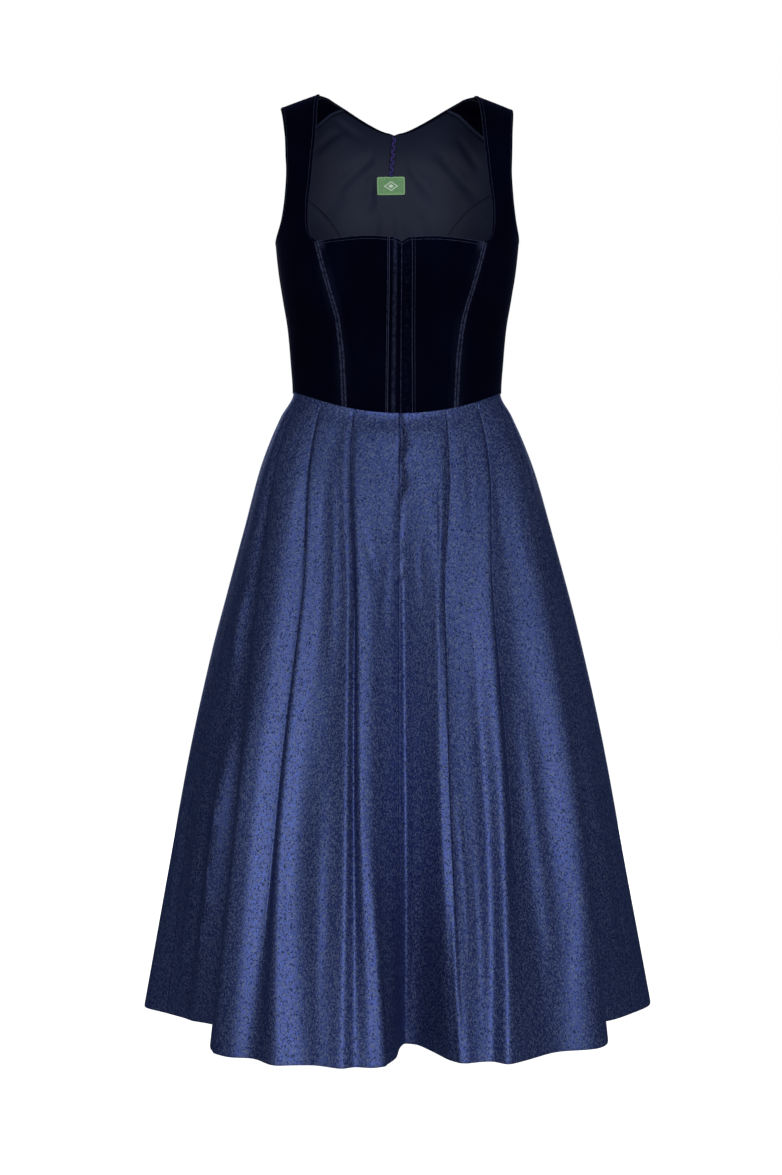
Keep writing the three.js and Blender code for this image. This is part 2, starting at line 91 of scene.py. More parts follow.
VELVET = 2.0
LINING = 1.0
SKIRT_WALL = 1.5
SEAM_GAP = 0.3
SKIRT_INSET = 1.0
LINING_OUT = VELVET + SEAM_GAP
FACING_OUT = LINING_OUT + LINING + SEAM_GAP

# How far stitched lines lie from a seam, an open edge and the front opening.
SEAM_STITCH = 2.4
EDGE_STITCH = 4.3
LEFT_STITCHES = (14.2, 17.6)
RIGHT_STITCHES = (16.2, 18.3)

PLACKET_WIDTH = 15.5
LABEL_WIDTH = 36
LABEL_HEIGHT = 22
LABEL_X = -3.5
LABEL_TOP = -86
HANGER_TOP = -37
SLIT_SHARE = 0.27  # the skirt's front opening, as a share of its length

# Sections of the whole dress: height, half width, front depth, back depth, squareness.
SECTIONS = [
    (-90, 158, 88, 98, 3.0),
    (-150, 156.5, 110, 104, 2.7),
    (-190, 154, 121, 104, 2.45),
    (-225, 150.5, 124, 103, 2.35),
    (-260, 145, 119, 101, 2.25),
    (-300, 138.5, 110, 97, 2.15),
    (-340, 135, 103, 96, 2.1),
    (-378.5, 132.5, 100, 98, 2.1),
    (-408, 149.5, 112, 114, 2.0),
    (-443, 165, 124, 130, 2.0),
    (-479, 178, 136, 143, 2.0),
    (-550, 197.5, 158, 166, 2.0),
    (-692, 234, 203, 211, 2.0),
    (-834, 265.5, 246, 252, 2.0),
    (-1000, 295, 291, 292, 2.0),
    (-1162, 323, 326, 324, 2.0),
]

# Seams and edges of the bodice, bottom to top: distance from the centre line, and height
# along the cloth. None lies on the side seam or on the waist seam.
SIDE_SEAM = [(None, None), (None, -300), (None, UNDERARM)]
FRONT_SEAM = [(69, None), (71.5, -342), (77, -300), (89, -257), (101, -213), (104, -201)]
STRAP_EDGE = [
    (104, -201), (109, -196), (112.5, -184), (113, -158), (109, -120), (104, -70), (101, -12),
    (NECK_HALF, SHOULDER_TOP),
]
FRONT_ARMHOLE = [
    (None, UNDERARM), (153, -186), (149.5, -177), (146, -164), (142.5, -138), (141, -102), (142.5, -60),
    (146, -6), (SHOULDER_TIP, SHOULDER_TOP),
]
CENTRE_BACK_SEAM = [(0, None), (0, -200), (0, -33.5)]
BACK_NECKLINE = [(0, -33.5), (10, -32), (30, -23), (60, -2), (85, 22), (NECK_HALF, SHOULDER_TOP)]
BACK_SEAM = [(36, None), (41, -305), (52, -225), (72, -163), (104, -126), (138.5, -106)]
BACK_ARMHOLE_LOW = [(None, UNDERARM), (152, -182), (145.5, -152), (141, -128), (139.2, -114)]
BACK_ARMHOLE_HIGH = [(138.5, -106), (140, -80), (142, -46), (144.5, -12), (SHOULDER_TIP, SHOULDER_TOP)]
FRONT_NECKLINE = [(0.0, -204.5), (0.05, -199.5), (0.3, -197.5), (0.7, -199.5), (1.0, -202)]
CENTRE_FRONT = [(0, None), (0, -300), (0, -204.5)]

# The skirt's folds, round from the centre front: the angle at the waist, hip, knee and
# hem, and how far the cloth stands out at the hip, knee and hem.
FOLDS = [
    ("front seam", -0.5, -1.4, -1.8, -1.9, -21, -38, -96),
    ("notch floor", 1.2, 0.2, 0, 0, -26, -47, -126),
    ("notch wall", 4.5, 2.6, 1.9, 1.8, -20, -38, -124),
    ("notch slope", 9.3, 5.6, 4.2, 4, -11, -27, -118),
    ("notch side", 14, 8.4, 6.4, 7.2, -3, -10, -76),
    ("edge ridge", 20, 10.6, 8.4, 9.4, 4, 5, -28),
    ("first pleat", 24.2, 13.4, 11.2, 12, -3, -3, -12),
    ("small ridge", 28.6, 17, 15, 15, -4, -6, -15),
    ("small slope", 36, 22.6, 20.4, 17.8, -1, -7, -13),
    ("middle ridge", 43, 28, 23.6, 19.8, 6, 6, 8),
    ("second pleat", 46.9, 31.3, 28, 25.4, -6, -12, -4),
    ("flute slope", 52, 39, 37, 35, -10, -23, -20),
    ("flute", 60, 50, 46.5, 44, 9, 9, 2),
    ("flute edge", 66, 56, 52.5, 53.5, 1, -4, -20),
    ("deep valley", 70.5, 62, 58.5, 61, -28, -62, -104),
    ("side slope", 76, 71, 69, 71, -20, -42, -58),
    ("side seam", 87, 85, 85, 84, -3, -12, -24),
    ("side ridge", 98, 98, 98, 98, 5, 8, 14),
    ("side edge", 108, 111, 112, 113, 5, 6, 8),
    ("back valley", 114, 118, 121, 124, -18, -44, -82),
    ("back slope", 122, 127, 130, 134, -3, -10, -22),
    ("back flute", 134, 138, 142, 146, 6, 12, 18),
    ("back pleat", 146, 151, 154, 157, -9, -11, 2),
    ("back ridge", 157, 161, 164, 168, 5, 7, 6),
    ("back middle", 168, 171, 173, 175, -3, -8, -22),
    ("back seam", 180, 180, 180, 180, -9, -30, -66),
    ("back middle", 191, 189, 187, 186, -2, -6, -16),
    ("back ridge", 202, 198, 195, 194, 5, 8, 9),
    ("back pleat", 214, 209, 206, 204, -9, -12, -2),
    ("back flute", 226, 222, 218, 215, 6, 11, 16),
    ("back slope", 238, 233, 230, 227, -3, -12, -26),
    ("back valley", 246, 242, 239, 236, -18, -46, -86),
    ("side edge", 252, 249, 248, 247, 1, 2, 2),
    ("side ridge", 262, 262, 262, 262, 1, 3, 6),
    ("side seam", 273, 274, 273, 271, -5, -15, -30),
    ("side slope", 284, 290, 291, 286, -12, -34, -72),
    ("deep valley", 289, 299, 303, 301, -19, -46, -98),
    ("flute edge", 294, 306.5, 311.5, 310.2, 0, -6, -20),
    ("flute", 303, 316.6, 319.6, 321, 7, 9, 10),
    ("second pleat", 313.2, 324.2, 325.4, 326.4, -9, -10, -2),
    ("middle ridge", 316.5, 327.4, 328.8, 333, 6, 9, 19),
    ("ridge slope", 322, 332, 332.6, 336.5, -2, -2, 9),
    ("soft valley", 327, 337, 339, 341.5, -5, -4, 1),
    ("thin ridge", 332, 342.4, 345.4, 346.4, 2, 8, 11),
    ("first pleat", 335.2, 343.9, 347, 349, -7, -5, -1),
    ("middle front", 338.4, 346, 349, 352.2, 6, 7, 2),
    ("ridge side", 344.5, 349.4, 351.7, 354.6, 3, 1, -8),
    ("front slope", 351.5, 353.2, 354.2, 356, -7, -15, -28),
    ("front edge", 357.5, 356.6, 356.5, 357.4, -15, -28, -56),
]
HIP_SHARE = 0.33
KNEE_SHARE = 0.67
PLEAT_RISE = 2.5
PLEAT_SHARE = 0.05
FOLD_ROUNDING = [(-0.28, 0.25), (0, 0.5), (0.28, 0.25)]
FOLD_STEPS = 8  # columns of quads from one fold to the next
OVERLAP = 2  # folds past the first and the last, for a smooth join

# ---- Curves ----


def smooth(t):
    t = np.clip(t, 0, 1)
    return t * t * (3 - 2 * t)


def bump(distance, middle, width):
    """A soft ridge of height 1 at a distance from something."""
    return np.exp(-(((distance - middle) / width) ** 2))


def relief(distance, rows):
    """Soft ridges and furrows, each with its middle, width and height."""
    return sum(high * bump(distance, middle, width) for middle, width, high in rows)


def lerp(a, b, t):
    return a + (b - a) * t


def curve(xs, ys):
    """A smooth function through points, which never overshoots them."""
    xs = np.array(xs, float)
    ys = np.array(ys, float)
    rise = np.diff(ys) / np.diff(xs)
    slope = np.empty_like(ys)
    slope[0] = rise[0]
    slope[-1] = rise[-1]
    for i in range(1, len(ys) - 1):
        before, after = rise[i - 1], rise[i]
        slope[i] = 0 if before * after <= 0 else 2 * before * after / (before + after)

    def at(x):
        x = np.asarray(x, float)
        i = np.clip(np.searchsorted(xs, x) - 1, 0, len(xs) - 2)
        width = xs[i + 1] - xs[i]
        t = np.clip((x - xs[i]) / width, 0, 1)
        along = t * t * (3 - 2 * t)
        start_pull = (t**3 - 2 * t * t + t) * width * slope[i]
        end_pull = (t**3 - t * t) * width * slope[i + 1]
        return ys[i] * (1 - along) + ys[i + 1] * along + start_pull + end_pull

    return at


def column(rows, number):
    rows = sorted(rows, key=lambda row: row[0])
    return curve([row[0] for row in rows], [row[number] for row in rows])


half_width, front_depth, back_depth, squareness = (column(SECTIONS, i) for i in range(1, 5))
front_neckline = column(FRONT_NECKLINE, 1)


# ---- The form of the bodice ----


def waist_dip(turn):
    c = np.cos(turn)
    return c * c * np.where(c > 0, FRONT_DIP, BACK_DIP)


def waist_seam(turn):
    return WAIST_Z - waist_dip(turn)


def section_point(turn, z):
    power = 2 / squareness(z)
    s = np.sin(turn)
    c = np.cos(turn)
    depth = np.where(c > 0, front_depth(z), back_depth(z))
    x = half_width(z) * np.sign(s) * np.abs(s) ** power
    y = -depth * np.sign(c) * np.abs(c) ** power
    return x, y


def turn_at(x, z, behind):
    share = np.clip(np.abs(x) / half_width(z), 0, 1) ** (squareness(z) / 2)
    turn = np.arcsin(share)
    return math.pi - turn if behind else turn


def bodice_points(turn, h):
    """Points of the bodice's outer face, at angles from the front and heights along the cloth."""
    bent = np.clip((BLEND_TOP - h) / (BLEND_TOP - waist_seam(turn)), 0, 1)
    low_x, low_y = section_point(turn, np.minimum(h, SHOULDER_START) + waist_dip(turn) * bent)
    top_x, top_y = section_point(turn, np.full_like(h, SHOULDER_START))
    bend = np.clip((h - SHOULDER_START) / SHOULDER_ARC, 0, 1) * math.pi / 2
    fall = STRAP_FALL * np.clip((np.abs(top_x) - NECK_HALF) / STRAP_WIDTH, -0.25, 1.2)
    over = h > SHOULDER_START
    x = np.where(over, top_x, low_x)
    y = np.where(over, lerp(SHOULDER_Y, top_y, np.cos(bend)), low_y)
    z = np.where(over, lerp(SHOULDER_START, -fall, np.sin(bend)), h)
    return np.stack([x, y, z], axis=-1)


def path(rows, behind, last):
    """A seam or an open edge: its angle and height over a share from 0 to 1, and its last row."""
    turns, heights = [], []
    for x, h in rows:
        z = WAIST_Z if h is None else min(h, SHOULDER_START)
        turn = math.pi / 2 if x is None else float(turn_at(x, z, behind))
        turns.append(turn)
        heights.append(float(waist_seam(turn)) if h is None else h)
    across = np.diff(turns) * float(half_width(UNDERARM))
    along = np.concatenate([[0], np.cumsum(np.hypot(across, np.diff(heights)))])
    shares = along / along[-1]
    return curve(shares, turns), curve(shares, heights), last


def edge(*paths):
    """A panel's side, up one path and then the next, and the share of its rows that is sewn."""
    total = paths[-1][2]

    def at(t):
        row = np.asarray(t, float) * total
        turn = np.zeros_like(row)
        h = np.zeros_like(row)
        start = 0
        for path_turn, path_h, end in paths:
            here = (row >= start) & (row <= end)
            share = (row[here] - start) / (end - start)
            turn[here] = path_turn(share)
            h[here] = path_h(share)
            start = end
        return turn, h

    return at, paths[0][2] / total


front_seam = path(FRONT_SEAM, False, 12)
back_seam = path(BACK_SEAM, True, 16)
side_seam = path(SIDE_SEAM, False, 9)
centre_front_inner = edge(path(CENTRE_FRONT, False, 12))
centre_front_outer = edge(front_seam)
side_front_inner = edge(front_seam, path(STRAP_EDGE, False, 27))
side_front_outer = edge(side_seam, path(FRONT_ARMHOLE, False, 27))
side_back_inner = edge(back_seam)
side_back_outer = edge(side_seam, path(BACK_ARMHOLE_LOW, True, 16))
centre_back_inner = edge(path(CENTRE_BACK_SEAM, True, 14), path(BACK_NECKLINE, True, 22))
centre_back_outer = edge(back_seam, path(BACK_ARMHOLE_HIGH, True, 22))
WAIST_SHARE = 0.25  # the share of a panel's height in which its rows bend to the waist seam


def spread(*stretches, start=0.0):
    """Shares along a side: each stretch goes on to its own end, in its own number of steps."""
    shares = [start]
    for end, steps in stretches:
        shares.extend(np.linspace(shares[-1], end, steps + 1)[1:])
    return np.array(shares)


def panel(side, inner, outer, across, up, top=None):
    """A panel's points and heights, at shares from its inner to its outer edge and upwards."""
    s = across[None, :]
    inner_turn, inner_h = inner[0](up)
    outer_turn, outer_h = outer[0](up)
    ends = np.array([0.0, 1.0])
    foot_turn, foot_h = inner[0](ends)
    far_turn, far_h = outer[0](ends)
    turn = lerp(inner_turn[:, None], outer_turn[:, None], s)
    at_waist = waist_seam(lerp(foot_turn[0], far_turn[0], s))
    at_foot = lerp(foot_h[0], far_h[0], s)
    bent = (at_waist - at_foot) * (1 - smooth(up[:, None] / WAIST_SHARE))
    shaped = 0
    if top is not None:
        shaped = (top(s) - lerp(foot_h[1], far_h[1], s)) * up[:, None]
    h = lerp(inner_h[:, None], outer_h[:, None], s) + bent + shaped
    return bodice_points(turn * side, h), h


# ---- Sheets of cloth ----

SHARPEST_SMOOTH = math.radians(50)
NO_LENGTH = 1e-9


def normals_of(points):
    across = np.gradient(points, axis=1)
    along = np.gradient(points, axis=0)
    normals = np.cross(across, along)
    length = np.linalg.norm(normals, axis=-1, keepdims=True)
    normals = normals / np.maximum(length, NO_LENGTH)
    outward = points.copy()
    height = points[..., 2]
    outward[..., 2] = np.where(height > SHOULDER_START, height - 2 * SHOULDER_START, 0)
    if np.sum(normals * outward) < 0:
        normals = -normals
    return normals


def moved_out(points, distance):
    return points + normals_of(points) * np.asarray(distance)[..., None]


def run(points, axis, backwards=False):
    """How far each grid point lies from one edge of its sheet, along the cloth."""
    steps = np.linalg.norm(np.diff(points, axis=axis), axis=-1)
    total = np.cumsum(steps, axis=axis)
    zero = np.zeros_like(np.take(total, [0], axis=axis))
    total = np.concatenate([zero, total], axis=axis)
    if backwards:
        total = np.take(total, [-1], axis=axis) - total
    return total


def deselect():
    for other in bpy.context.selected_objects:
        other.select_set(False)


def select_only(*pieces):
    deselect()
    for piece in pieces:
        piece.select_set(True)
    bpy.context.view_layer.objects.active = pieces[0]


def make_cloth(name, points, wall, looks, stands_for, marks):
    """A sheet of cloth through grid points, with its wall on the inside and marks for its looks."""
    marks = {key: np.broadcast_to(value, points.shape[:2]) for key, value in marks.items()}
    across = np.gradient(points, axis=1)
    along = np.gradient(points, axis=0)
    if np.sum(np.cross(across, along) * normals_of(points)) < 0:
        points = points[:, ::-1]
        marks = {key: value[:, ::-1] for key, value in marks.items()}
    rows, columns = points.shape[:2]
    deselect()
    bpy.ops.mesh.primitive_grid_add(x_subdivisions=columns - 1, y_subdivisions=rows - 1, size=1)
    piece = bpy.context.object
    piece.name = name
    piece.data.name = name
    piece.data.vertices.foreach_set("co", (points * MM).reshape(-1))
    for key, value in marks.items():
        attribute = piece.data.attributes.new(key, "FLOAT", "POINT")
        attribute.data.foreach_set("value", value.astype(np.float32).reshape(-1))
    for look in looks:
        piece.data.materials.append(look)
    piece.data.update()
    modifier = piece.modifiers.new("wall", "SOLIDIFY")
    modifier.thickness = wall * MM
    modifier.offset = -1
    modifier.material_offset = len(looks) - 1
    modifier.material_offset_rim = 0
    select_only(piece)
    bpy.ops.object.modifier_apply(modifier="wall")
    bpy.ops.object.shade_smooth_by_angle(angle=SHARPEST_SMOOTH)
    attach(piece, "root")
    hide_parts(stands_for)


# ---- Stitches ----

STITCH_PITCH = 2.7
STITCH_LENGTH = 2.0
STITCH_THICK = 0.5
STITCH_LIFT = 0.1
LOOK_AHEAD = 0.5
sewn_lines = []


def at_places(where, along, values):
    """Points or directions between the ones known along a line."""
    return np.stack([np.interp(where, along, values[:, axis]) for axis in range(3)], axis=-1)


def sew(points, away, distance, rows=slice(None)):
    """Notes a line of stitches on a sheet, at one distance from the edge that away starts from."""
    normals = normals_of(points)
    line, outward = [], []
    for place, normal, apart in zip(points[rows], normals[rows], away[rows]):
        if apart[0] > apart[-1]:
            place, normal, apart = place[::-1], normal[::-1], apart[::-1]
        if distance < apart[-1]:
            line.append(at_places(distance, apart, place))
            outward.append(at_places(distance, apart, normal))
    sewn_lines.append((np.array(line), np.array(outward)))


def make_stitches(name, look):
    """One small stitch, repeated along every noted line."""
    deselect()
    bpy.ops.mesh.primitive_uv_sphere_add(segments=5, ring_count=4, radius=0.5)
    pattern = bpy.context.object
    shape = np.array([vertex.co[:] for vertex in pattern.data.vertices])
    sides = [list(face.vertices) for face in pattern.data.polygons]
    bpy.data.objects.remove(pattern)
    vertices, faces = [], []
    for line, outward in sewn_lines:
        along = np.concatenate([[0], np.cumsum(np.linalg.norm(np.diff(line, axis=0), axis=1))])
        at = np.arange(STITCH_PITCH, along[-1] - STITCH_PITCH / 2, STITCH_PITCH)
        middle = at_places(at, along, line)
        ahead = at_places(at + LOOK_AHEAD, along, line) - middle
        normal = at_places(at, along, outward)
        ahead /= np.linalg.norm(ahead, axis=1, keepdims=True)
        normal /= np.linalg.norm(normal, axis=1, keepdims=True)
        beside = np.cross(normal, ahead)
        for place, forward, out, sideways in zip(middle, ahead, normal, beside):
            start = len(vertices)
            stitch = place + out * STITCH_LIFT + np.outer(shape[:, 2] * STITCH_LENGTH, forward)
            stitch = stitch + np.outer(shape[:, 0] * STITCH_THICK, sideways)
            stitch = stitch + np.outer(shape[:, 1] * STITCH_THICK, out)
            vertices.extend((stitch * MM).tolist())
            faces.extend([start + corner for corner in side] for side in sides)
    mesh = bpy.data.meshes.new(name)
    mesh.from_pydata(vertices, [], faces)
    mesh.materials.append(look)
    piece = add_object(name, mesh)
    select_only(piece)
    bpy.ops.object.shade_smooth()
    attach(piece, "root")
    sewn_lines.clear()


# ---- Looks ----


class Value:
    """A number in a material, on which ordinary arithmetic works."""

    def __init__(self, look, socket):
        self.look = look
        self.socket = socket

    def calculate(self, operation, *others, clamp=False):
        node = self.look.node("Math", {"operation": operation, "use_clamp": clamp})
        for i, value in enumerate((self,) + others):
            self.look.feed(node.inputs[i], value)
        return Value(self.look, node.outputs[0])

    def __add__(self, other):
        return self.calculate("ADD", other)

    def __sub__(self, other):
        return self.calculate("SUBTRACT", other)

    def __mul__(self, other):
        return self.calculate("MULTIPLY", other)

    def __truediv__(self, other):
        return self.calculate("DIVIDE", other)

    def __rsub__(self, other):
        return (self * -1) + other

    def near(self, middle, width):
        """1 at a middle value, falling to 0 at a width from it."""
        away = (self - middle).calculate("ABSOLUTE")
        return 1 - away.between(0.25 * width, width)

    def limited(self):
        return self.calculate("ADD", 0, clamp=True)

    def between(self, low, high):
        """0 below low, 1 above high, and a soft step between them."""
        soft = {"interpolation_type": "SMOOTHSTEP"}
        node = self.look.node("MapRange", soft, value=self, from_min=low, from_max=high)
        return Value(self.look, node.outputs["Result"])


class Look:
    """A material with one Principled shader."""

    def __init__(self, name, **settings):
        self.material = bpy.data.materials.new(name)
        self.material.use_nodes = True
        self.tree = self.material.node_tree
        self.shader = self.tree.nodes["Principled BSDF"]
        for key, value in settings.items():
            socket = key.replace("_", " ").title().replace("Ior", "IOR")
            self.shader.inputs[socket].default_value = value

    def feed(self, socket, value):
        if isinstance(value, Value):
            self.tree.links.new(value.socket, socket)
        elif isinstance(value, bpy.types.NodeSocket):
            self.tree.links.new(value, socket)
        else:
            socket.default_value = value

    def node(self, kind, settings=None, **inputs):
        made = self.tree.nodes.new("ShaderNode" + kind)
        for key, value in (settings or {}).items():
            setattr(made, key, value)
        for key, value in inputs.items():
            self.feed(made.inputs[key.replace("_", " ").title()], value)
        return made

    def mark(self, name):
        node = self.node("Attribute", {"attribute_name": name})
        return Value(self, node.outputs["Fac"])

    def noise(self, scale, stretch=(1, 1, 1), **settings):
        """Noise over the object's own coordinates, stretched."""
        here = self.node("TexCoord").outputs["Object"]
        place = self.node("Mapping", vector=here, scale=stretch).outputs["Vector"]
        node = self.node("TexNoise", vector=place, scale=scale, **settings)
        return Value(self, node.outputs["Fac"])

    def mix(self, share, first, second):
        node = self.node("Mix", {"data_type": "RGBA"})
        for i, value in ((0, share), (6, first), (7, second)):
            self.feed(node.inputs[i], value)
        return node.outputs[2]

    def finish(self, color, roughness, height, distance, strength):
        """The material, with its colour and roughness, and bumps of a height."""
        bumps = self.node("Bump", height=height, distance=distance, strength=strength)
        self.feed(self.shader.inputs["Base Color"], color)
        self.feed(self.shader.inputs["Roughness"], roughness)
        self.feed(self.shader.inputs["Normal"], bumps.outputs["Normal"])
        return self.material


def rgb(r, g, b):
    """A colour from 0 to 255 values, as a screen shows it."""

    def linear(v):
        v = v / 255
        return v / 12.92 if v <= 0.04045 else ((v + 0.055) / 1.055) ** 2.4

    return (linear(r), linear(g), linear(b), 1)


BINDING = 4.4  # the width of the facing's binding

# Paler lines of crushed pile and painted sheen along the front opening, by their distance
# from it, which is negative on the wearer's right: middle, width, and how pale the broken
# pile and all the pile is in them.
OPENING_LINES = [
    (0, 0.9, 0.35, 0.15),
    (-RIGHT_STITCHES[0], 0.8, 0.3, 0.3),
    (-RIGHT_STITCHES[1], 0.7, 0.4, 0),
    (LEFT_STITCHES[0], 0.7, 0.35, 0.15),
    (LEFT_STITCHES[1], 0.6, 0.2, 0),
]


def velvet_look(name, bound=False):
    """Dark pile, paler with crushed pile and painted sheen at folded edges and seams, maybe bound."""
    look = Look(
        name, specular_ior_level=0.02, sheen_weight=0.05, sheen_roughness=0.35,
        sheen_tint=(0.25, 0.3, 0.85, 1),
    )
    seam = look.mark("from_seam")
    edge = look.mark("from_edge")
    opening = look.mark("from_opening")
    cloudy = look.noise(18, detail=3, stretch=(1, 1, 0.5))
    patchy = look.noise(260, detail=3, roughness=0.65)
    pile = look.noise(1300)
    broken = patchy.between(0.36, 0.62)
    # Paler lines of crushed pile, with painted sheen, beside the seams and along the open edges.
    crushed_and_sheen = seam.near(1.5, 1.1) * (broken * 0.55 + 0.12) + seam.near(3.1, 0.9) * broken * 0.45
    edge_rub_and_sheen = edge.near(0.2, 1.1) * (broken * 0.4 + 0.25) + edge.near(EDGE_STITCH, 0.7) * broken * 0.25
    crushed_and_sheen = crushed_and_sheen + edge_rub_and_sheen * look.mark("rub_and_sheen_strength")
    for middle, width, in_broken, throughout in OPENING_LINES:
        crushed_and_sheen = crushed_and_sheen + opening.near(middle, width) * (broken * in_broken + throughout)
    # Broader pale bands on the raised placket: worn pile with a painted highlight.
    crushed_and_sheen = crushed_and_sheen + opening.near(-9.2, 3.6) * (patchy.between(0.3, 0.75) * 0.28 + 0.06)
    crushed_and_sheen = crushed_and_sheen + opening.near(7, 7) * patchy.between(0.45, 0.8) * 0.12
    # A faint painted sheen beside the seams, and a painted sheen where the seams meet the edges.
    crushed_and_sheen = crushed_and_sheen * 0.72 + seam.near(3, 12) * cloudy.between(0.4, 0.7) * 0.03
    crushed_and_sheen = (crushed_and_sheen + seam.near(0, 14) * edge.near(0, 16) * 0.16).limited()
    ground = look.mix(cloudy.between(0.35, 0.75), rgb(1, 1, 13), rgb(2, 3, 20))
    # This grey-blue stands for crushed pile and painted sheen.
    color = look.mix(crushed_and_sheen, ground, rgb(72, 78, 108))
    if bound:
        rim = 1 - look.mark("from_binding").between(BINDING - 0.3, BINDING + 0.1)
        color = look.mix(rim, color, rgb(36, 41, 60))
    return look.finish(color, 0.92 - crushed_and_sheen * 0.3, pile * 0.6 + cloudy, 0.0005, 0.5)


def plain_look(name, low, high, weave=1400, rough=0.6):
    """A plain, fine weave."""
    look = Look(name, specular_ior_level=0.3)
    cloudy = look.noise(14, detail=3)
    threads = look.noise(weave, detail=1, stretch=(1, 1, 0.3))
    across = look.noise(weave, detail=1, stretch=(0.3, 0.3, 1))
    color = look.mix((cloudy * 0.6 + threads * 0.4).between(0.3, 0.7), low, high)
    return look.finish(color, threads * 0.1 + rough, threads + across, 0.0002, 0.6)


def lining_look(name):
    """A smooth twill with thin dark seams, a dark band at the neck and a painted shadow under the
    facing.
    """
    look = Look(name, specular_ior_level=0.08)
    cloudy = look.noise(11, detail=3)
    threads = look.noise(1500, detail=1, stretch=(1, 1, 0.35))
    uneven = (cloudy * 0.55 + threads * 0.45).between(0.3, 0.7)
    cloth = look.mix(uneven, rgb(25, 29, 46), rgb(33, 37, 56))
    seam = look.mark("from_seam").near(0, 1.0)
    band = 1 - look.mark("from_neck").between(2.2, 2.7)
    # A painted shadow on the lining under the facing's edge.
    painted_shadow = look.mark("painted_shadow_under_facing").between(-0.3, 0.6)
    # Dark seams, the dark band at the neck and the painted shadow all take one near-black colour.
    color = look.mix((seam * 0.85 + band + painted_shadow * 0.9).limited(), cloth, rgb(4, 4, 16))
    return look.finish(color, threads * 0.12 + 0.5, threads + cloudy * 0.5, 0.0002, 0.6)


def jacquard_look(name):
    """A satin ground with small, irregular pale flecks and dark gaps."""
    look = Look(name, specular_ior_level=0.5, specular_tint=(0.4, 0.5, 0.95, 1))
    pale = look.noise(500, detail=1, distortion=0.6, stretch=(1, 1, 0.8)).between(0.51, 0.58)
    dark = look.noise(480, detail=1, distortion=0.6, stretch=(1.1, 1.1, 0.7)).between(0.55, 0.63)
    cloudy = look.noise(6, stretch=(1, 1, 0.4))
    patchy = look.noise(70, stretch=(1, 1, 0.5)).between(0.3, 0.7)
    satin = look.mix(cloudy.between(0.3, 0.7), rgb(58, 71, 124), rgb(65, 79, 133))
    cloth = look.mix(dark * (patchy * 0.3 + 0.6), satin, rgb(16, 24, 58))
    cloth = look.mix(pale * 0.85, cloth, rgb(86, 97, 130))
    seam = look.mark("from_seam").near(0, 1.0)
    color = look.mix(seam * 0.8, cloth, rgb(10, 12, 40))
    look.feed(look.shader.inputs["Metallic"], 0.86 - (pale * 0.25 + dark * 0.2))
    threads = look.noise(1800, detail=1, stretch=(1, 1, 0.25))
    height = pale * 0.6 - dark * 0.6 + threads * 0.4
    return look.finish(color, (pale + dark) * 0.05 + 0.53, height, 0.0003, 0.7)


LABEL_BORDER = 1.4
BORDER_FADE = 0.3
DIAMOND_HALF = 9.4
DIAMOND_SHARE = 0.66  # its height, as a share of its width


def in_border(away, size):
    """1 in the label's border, by the distance from its middle."""
    start = size / 2 - LABEL_BORDER
    return away.calculate("ABSOLUTE").between(start - BORDER_FADE, start)


def label_look(name):
    """A green weave with a paler border and a plain woven diamond, one inside the other."""
    look = Look(name, specular_ior_level=0.3)
    across = look.mark("label_across")
    up = look.mark("label_up")
    threads = look.noise(1600, detail=1, stretch=(0.3, 0.3, 1))
    ground = look.mix(threads.between(0.3, 0.7), rgb(84, 128, 84), rgb(112, 156, 106))
    border = (in_border(across, LABEL_WIDTH) + in_border(up, LABEL_HEIGHT)).limited()
    reach = across.calculate("ABSOLUTE") + up.calculate("ABSOLUTE") / DIAMOND_SHARE
    ring = (reach.near(DIAMOND_HALF - 1, 1.5) + reach.near(0, 5.5)).limited()
    woven = look.mix(ring * 0.9, ground, rgb(214, 224, 212))
    color = look.mix(border * 0.8, woven, rgb(132, 174, 126))
    height = threads + border * 0.8 + ring
    return look.finish(color, threads * 0.1 + 0.6, height, 0.0003, 0.7)


velvet = velvet_look("velvet")
bound_velvet = velvet_look("bound_velvet", bound=True)
velvet_back = plain_look("velvet_wrong_side", rgb(10, 11, 20), rgb(18, 20, 34))
lining_cloth = lining_look("lining_cloth")
jacquard = jacquard_look("jacquard")
jacquard_back = plain_look("jacquard_wrong_side", rgb(20, 24, 52), rgb(40, 46, 82))
dark_thread = plain_look("dark_braid_thread", rgb(12, 12, 34), rgb(24, 22, 56), weave=900)
purple_thread = plain_look("purple_braid_thread", rgb(42, 36, 96), rgb(70, 60, 134), weave=900)
stitch_thread = plain_look("stitch_thread", rgb(36, 41, 62), rgb(62, 68, 94), weave=900, rough=0.5)
label_cloth = label_look("label_cloth")

# ---- Bodice ----

SIDES = [("left", 1), ("right", -1)]
FAR = 99.0  # a distance mark that no line reaches
NEAR_ENOUGH = 30  # a distance from a seam or an edge past which neither counts
FEWEST_ROWS = 8  # an open edge of fewer rows gets no stitches

FRONT_ACROSS = spread((0.3, 40), (0.9, 24), (1, 16))
FRONT_UP = spread((0.95, 76), (1, 16))
EDGED_ACROSS = spread((0.06, 12), (0.94, 32), (1, 12))


